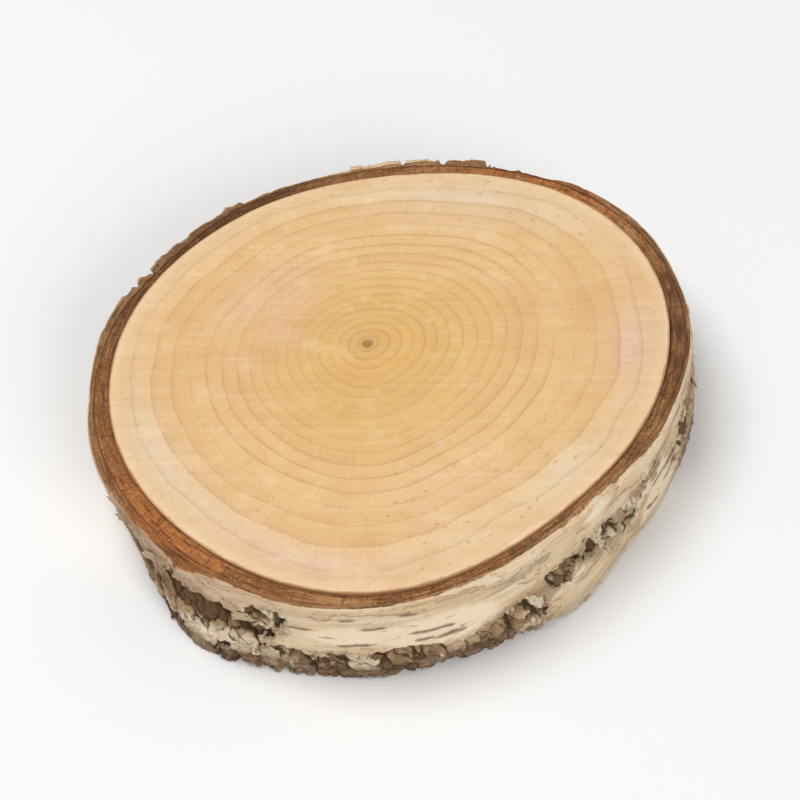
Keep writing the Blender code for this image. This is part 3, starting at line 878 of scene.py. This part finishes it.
def birch_bark():
    """Cream paper with lenticels and stains, dark scaly old bark, and tan where the paper has peeled."""
    bark = Finish("birch bark")
    old, cork, bed, level = bark.mark("old"), bark.mark("cork"), bark.mark("bed"), bark.mark("level")
    lenticel, slit, shed = bark.mark("lenticel"), bark.mark("slit"), bark.mark("shed")
    peel, stain, sawn = bark.mark("peel"), bark.mark("stain"), bark.mark("sawn")
    chalky, dirty_and_shaded_foot = bark.mark("chalky"), bark.mark("dirty_and_shaded_foot")
    inwards, pale_rim = bark.mark("inwards"), bark.mark("pale_rim")
    rusty, dark = bark.mark("rusty"), bark.mark("dark")
    round_branch = bark.places("round_branch")
    clouds, patches = bark.noise(120, 4), bark.noise(300, 4, None, 0.6)
    threads = bark.noise(1, 4, bark.stretched((160, 160, 3400), round_branch), 0.6)
    bands = bark.noise(1, 3, bark.stretched((45, 45, 620), round_branch, (0, 0, 3)), 0.55)
    dashes = bark.noise(1, 2, bark.stretched((620, 620, 3000), round_branch, (4, 0, 0)), 0.5)
    grain, fine_grain = bark.noise(2200, 3, None, 0.6), bark.noise(5200, 2)

    # The papery bark: its tone, its shed sheets, threads, chalky spots, streaks, dirt and lenticels.
    paper = bark.blend((0.765, 0.60, 0.395), (0.635, 0.455, 0.265), clouds.rise(0.40, 0.62))
    paper = bark.blend(paper, (0.835, 0.715, 0.525), 0.75 * bands.rise(0.50, 0.64))
    paper = bark.blend(paper, (0.51, 0.37, 0.225), 0.55 * bands.rise(0.45, 0.33))
    paper = bark.blend(paper, (0.675, 0.455, 0.26), 0.55 * shed.kept())
    paper = bark.blend(paper, (0.86, 0.74, 0.565), 0.6 * (shed - 1).kept())
    edge = shed.part() * (1 - shed.part())
    paper = bark.blend(paper, (0.36, 0.25, 0.15), 0.6 * (4 * edge + 0.4 * (grain - 0.5)).rise(0.25, 0.9))
    paper = bark.blend(paper, (0.44, 0.325, 0.195), 0.42 * threads.rise(0.50, 0.70))
    paper = bark.blend(paper, (0.90, 0.80, 0.635), 0.42 * threads.rise(0.46, 0.30))
    paper = bark.blend(paper, (0.885, 0.735, 0.53), 0.85 * (chalky + 0.9 * (patches - 0.5)).rise(0.35, 0.75))
    paper = bark.blend(paper, (0.28, 0.19, 0.115), 0.65 * dashes.rise(0.66, 0.72))
    up = bark.node("ShaderNodeSeparateXYZ", {}, {0: round_branch}, "Z") / THICKNESS
    tinge = rusty * (up + 0.3 * (patches - 0.5) + 0.2 * (threads - 0.5)).rise(0.55, 0.90)
    paper = bark.blend(paper, (0.43, 0.235, 0.150), 0.50 * tinge)
    streaks = stain + 0.8 * (patches - 0.5) + 0.5 * (threads - 0.5)
    paper = bark.blend(paper, (0.34, 0.31, 0.21), 0.60 * streaks.rise(0.30, 0.85))
    grime = (0.55 * old + 0.9 * (patches - 0.5) + 0.5 * (grain - 0.5)).rise(0.12, 0.42)
    paper = bark.blend(paper, (0.290, 0.188, 0.110), 0.72 * grime)
    paper = bark.blend(paper, (0.39, 0.315, 0.195), 0.45 * patches.rise(0.46, 0.36) * old.rise(0.05, 0.5))
    paper = bark.blend(paper, (0.40, 0.28, 0.18), 0.75 * (lenticel + 0.6 * (grain - 0.5)).rise(0.30, 0.70))
    paper = bark.blend(paper, (0.09, 0.055, 0.032), 0.75 * (slit + 0.5 * (grain - 0.5)).rise(0.35, 0.75))

    # The old bark: dark and pale scales, remains of paper on them, and the cracks between.
    weathered = level + 0.5 * (clouds - 0.5) + 0.3 * (grain - 0.5) - 0.22 * old.rise(0.75, 1.0)
    plates = bark.blend((0.140, 0.073, 0.035), (0.375, 0.238, 0.128), weathered.rise(0.10, 0.62))
    plates = bark.blend(plates, (0.56, 0.385, 0.225), 0.65 * bands.rise(0.48, 0.62) * level.rise(0.2, 0.7))
    palest = (weathered + 0.8 * (patches - 0.5)).rise(0.62, 0.78)
    plates = bark.blend(plates, (0.74, 0.625, 0.44), 0.85 * palest)
    remains = (chalky + 1.1 * (patches - 0.5) + 0.3 * (grain - 0.5)).rise(0.55, 0.85)
    plates = bark.blend(plates, (0.70, 0.59, 0.45), 0.75 * remains)
    plates = bark.blend(plates, (0.075, 0.042, 0.020), 0.55 * grain.rise(0.52, 0.68))
    plates = bark.blend(plates, (0.048, 0.028, 0.013), 0.90 * (bed + 0.35 * (grain - 0.5)).rise(0.42, 0.86))

    # The tan layer under peeled paper.
    fresh = bark.blend((0.60, 0.335, 0.155), (0.40, 0.205, 0.088), bands.rise(0.38, 0.62))
    fresh = bark.blend(fresh, (0.72, 0.48, 0.275), 0.55 * threads.rise(0.50, 0.34))
    fresh = bark.blend(fresh, (0.30, 0.15, 0.065), 0.45 * threads.rise(0.54, 0.68))
    fresh = bark.blend(fresh, (0.22, 0.11, 0.05), 0.6 * dashes.rise(0.58, 0.66))
    fresh = bark.blend(fresh, (0.20, 0.10, 0.045), 0.8 * (lenticel + 0.5 * (grain - 0.5)).rise(0.30, 0.65))
    fresh = bark.blend(fresh, (0.76, 0.60, 0.41), 0.7 * (patches + 0.4 * (grain - 0.5)).rise(0.60, 0.66))

    # Each laid where it shows, with soil and painted contact shade at the foot.
    torn = (cork + 0.35 * (grain - 0.5)).rise(0.40, 0.60)
    bare = (peel + 0.5 * (grain - 0.5)).rise(0.38, 0.62)
    colour = bark.blend(bark.blend(paper, plates, torn), fresh, bare)
    # Painted contact shade mixed with soil: the bark darkens towards its foot all round, and most in the
    # dirty stretches.
    foot = (up - 0.06 * old + 0.18 * (clouds - 0.5) + 0.14 * (patches - 0.5)).rise(0.18, 0.07)
    soil_and_shade = bark.blend((0.075, 0.043, 0.025), (0.20, 0.125, 0.075), threads.rise(0.60, 0.42))
    soil_and_shade = bark.blend(soil_and_shade, (0.38, 0.275, 0.175), 0.6 * (patches + 0.5 * (grain - 0.5)).rise(0.52, 0.62))
    colour = bark.blend(colour, soil_and_shade, (0.22 + 0.66 * dirty_and_shaded_foot) * foot * (1 - sawn))

    # The sawn edge: pale paper outside, brown inside.
    layers = bark.noise(1, 3, bark.stretched((330, 330, 7600), round_branch, (0, 6, 0)), 0.6)
    section = bark.blend((0.76, 0.565, 0.355), (0.50, 0.325, 0.18), layers.rise(0.47, 0.66))
    section = bark.blend(section, (0.87, 0.73, 0.53), 0.5 * layers.rise(0.44, 0.30))
    brown = bark.blend((0.30, 0.155, 0.068), (0.40, 0.215, 0.100), clouds.rise(0.42, 0.62))
    brown = bark.blend(brown, (0.34, 0.115, 0.030), 0.90 * rusty * clouds.rise(0.25, 0.50))
    brown = bark.blend(brown, (0.12, 0.052, 0.024), 0.75 * dark * clouds.rise(0.75, 0.45))
    brown = bark.blend(brown, (0.085, 0.036, 0.014), 0.72 * layers.rise(0.49, 0.60))
    brown = bark.blend(brown, (0.56, 0.34, 0.17), 0.45 * layers.rise(0.44, 0.34))
    brown = bark.blend(brown, (0.075, 0.032, 0.014), 0.55 * grain.rise(0.52, 0.66))
    brown = bark.blend(brown, (0.66, 0.45, 0.25), 0.45 * bark.cells(2700).rise(0.20, 0.08))
    reach = inwards + 0.42 * rusty - 0.46 * pale_rim + 0.25 * (grain - 0.5) + 0.3 * (clouds - 0.5)
    section = bark.blend(section, brown, reach.rise(0.0, 0.16))
    section = bark.blend(section, (0.30, 0.18, 0.09), 0.6 * grain.rise(0.58, 0.72))
    section = bark.blend(section, (0.20, 0.12, 0.06), 0.65 * torn * bark.noise(700, 3).rise(0.46, 0.60))
    colour = bark.blend(colour, section, sawn)

    height = 0.35 * threads + 0.45 * grain + 0.2 * fine_grain + 0.4 * sawn * (1 - layers)
    bark.set(Base_Color=colour, Roughness=0.62 + 0.26 * torn, Specular_IOR_Level=0.15,
             Normal=bark.bump(height, 0.11 * MM))
    return bark.material


def curled(length, bend, count):
    """How far along and out each step of a strip lies that starts flat and bends more and more."""
    along = out = 0
    places = [(along, out)]
    for step in range(count):
        turn = bend * ((step + 0.5) / count) ** 1.5
        along += length / count * math.cos(turn)
        out += length / count * math.sin(turn)
        places.append((along, out))
    return places


def flakes_of_paper():
    """Torn tags of papery bark that have come loose at one end and curl away from the branch."""
    draw = random.Random(FLAKE_SEED)
    bm = bmesh.new()
    shed = bm.verts.layers.float.new("shed")
    round_branch = bm.verts.layers.float_vector.new("round_branch")
    columns, rows = FLAKE_FACES
    for angle, height, length, tall, bend, way, seed in flake_places(draw):
        before = set(bm.verts)
        bmesh.ops.create_grid(bm, x_segments=columns, y_segments=rows, size=0.5)
        strip = curled(length, bend, columns)
        stand = bark_surface(angle, height, ())[0] - FLAKE_SINK
        for vert in set(bm.verts) - before:
            share, across = vert.co.x + 0.5, vert.co.y
            reach = share * (1 + 0.25 * noise.noise(Vector((across * 4, seed, 0)))) / 1.25 * columns
            step = min(columns - 1, int(reach))
            (along, out), (next_along, next_out) = strip[step], strip[step + 1]
            along, out = mix(along, next_along, reach - step), mix(out, next_out, reach - step)
            taper = 1 - 0.4 * share + 0.3 * noise.noise(Vector((share * 2, across * 2, seed)))
            level = height + across * tall * taper
            place = angle + way * math.degrees(along / MEAN_RADIUS)
            vert.co = point(place, outline(place) + stand + out, level)
            vert[round_branch] = rolled(place, level)
            vert[shed] = 0.6
    return bm


def flake_places(draw):
    """The angle, height, length, width, bend, way and seed of each flake, at the edges of the old bark."""
    found = []
    while len(found) < FLAKES:
        angle, height = draw.uniform(0, 360), draw.uniform(0.2, 0.85) * THICKNESS
        if 0.25 < in_patches(angle, height, OLD_BARK) < 0.65:
            found.append((angle, height, draw.uniform(0.9, 2.4) * MM, draw.uniform(0.6, 1.5) * MM,
                          draw.uniform(0.5, 1.5), draw.choice((-1, 1)), draw.uniform(0, 100)))
    return found


def white_floor():
    bm = bmesh.new()
    bmesh.ops.create_grid(bm, x_segments=1, y_segments=1, size=FLOOR_SIZE)
    paint = Finish("white floor")
    paint.set(Base_Color=(0.90, 0.90, 0.90), Roughness=0.9)
    made_of(bm, "floor", paint.material)


def lamp(name, place, size, watts):
    light = bpy.data.lights.new(name, "AREA")
    light.shape = "DISK"
    light.size = size
    light.energy = watts
    thing = bpy.data.objects.new(name, light)
    thing.location = place
    thing.rotation_euler = (LAMPS_AIM - Vector(place)).to_track_quat("-Z", "Y").to_euler()
    bpy.context.scene.collection.objects.link(thing)


def studio():
    """A white studio: a broad light above, a softer one in front, and pale air all round."""
    world = bpy.data.worlds.new("studio")
    world.use_nodes = True
    world.node_tree.nodes["Background"].inputs["Color"].default_value = (1, 1, 1, 1)
    world.node_tree.nodes["Background"].inputs["Strength"].default_value = WORLD_STRENGTH
    bpy.context.scene.world = world
    lamp("overhead", *OVERHEAD_LAMP)
    lamp("front", *FRONT_LAMP)
    bpy.context.scene.view_settings.view_transform = "Standard"


def camera():
    """Looks along +Y and down on the slice, which fills most of the frame's width."""
    wide = highest.x - lowest.x
    distance = wide / SHARE_OF_FRAME * LENS / SENSOR
    down = math.radians(ELEVATION)
    target = (lowest + highest) / 2
    data = bpy.data.cameras.new("camera")
    data.lens = LENS
    data.sensor_width = SENSOR
    data.clip_start = 0.01
    thing = bpy.data.objects.new("camera", data)
    thing.location = target + distance * Vector((0, -math.cos(down), math.sin(down)))
    thing.rotation_euler = Euler((math.pi / 2 - down, 0, 0))
    bpy.context.scene.collection.objects.link(thing)
    bpy.context.scene.camera = thing


camera()
studio()
white_floor()
bark_finish = birch_bark()
finished(wood_disc(), "wood", sawn_wood(), SHARP_ON_WOOD)
finished(inner_bark_ring(), "inner_bark", dry_inner_bark(), SHARP_ON_INNER_BARK)
finished(bark_band(), "bark", bark_finish, SHARP_ON_BARK)
flakes = finished(flakes_of_paper(), "bark_flakes", bark_finish, SHARP_ON_BARK)
paper = flakes.modifiers.new("paper thickness", "SOLIDIFY")
paper.thickness = FLAKE_THICKNESS
